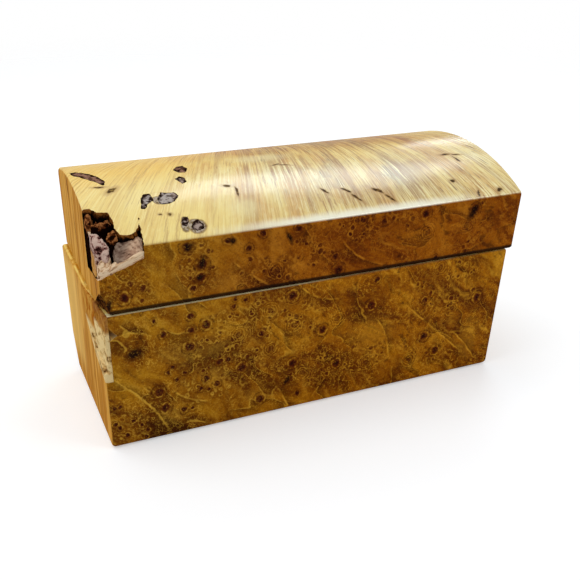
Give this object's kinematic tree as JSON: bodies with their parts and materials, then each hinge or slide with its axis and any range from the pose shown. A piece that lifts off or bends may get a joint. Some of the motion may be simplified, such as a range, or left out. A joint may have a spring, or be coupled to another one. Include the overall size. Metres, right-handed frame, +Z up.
{
  "type": "dice box with hinged lid",
  "caption": "Small burl wood box with a domed, hinged lid, felt-lined hollow for dice, brass butt hinges, magnets in the rims and a natural bark void at one corner.",
  "frame": {"origin": "the middle of the base's underside, on the surface that the box stands on", "axes": "+X runs along the box to its right end, -Y is the front that the lid opens from, +Y is the hinge side, +Z is up"},
  "size_m": [0.152, 0.0664, 0.0802],
  "materials": {
    "burl": "oiled and buffed burl, dark amber with eyes on the sides, pale gold on the top",
    "bark": "raw bark, grey brown and rough, sanded flush where it shows in the lid's top",
    "felt": "black wool felt",
    "brass": "polished brass",
    "magnet_nickel": "bright nickel plating"
  },
  "bodies": {
    "base": {"base_block": "burl", "base_bark": "bark", "base_lining": "felt", "left_base_leaf": "brass", "left_hinge_pin": "brass", "left_base_magnet": "magnet_nickel", "right_base_leaf": "brass", "right_hinge_pin": "brass", "right_base_magnet": "magnet_nickel"},
    "lid": {"lid_block": "burl", "left_bark_lump": "bark", "right_bark_lump": "bark", "back_bark_lump": "bark", "bark_pockets": "bark", "lid_lining": "felt", "left_lid_leaf": "brass", "left_lid_magnet": "magnet_nickel", "right_lid_leaf": "brass", "right_lid_magnet": "magnet_nickel"}
  },
  "joints": [
    {"name": "lid_hinge", "type": "hinge", "parent": "base", "child": "lid", "pos_m": [0, 0.03335, 0.0491], "axis": [-1, 0, 0], "range_deg": [0, 95]}
  ]
}
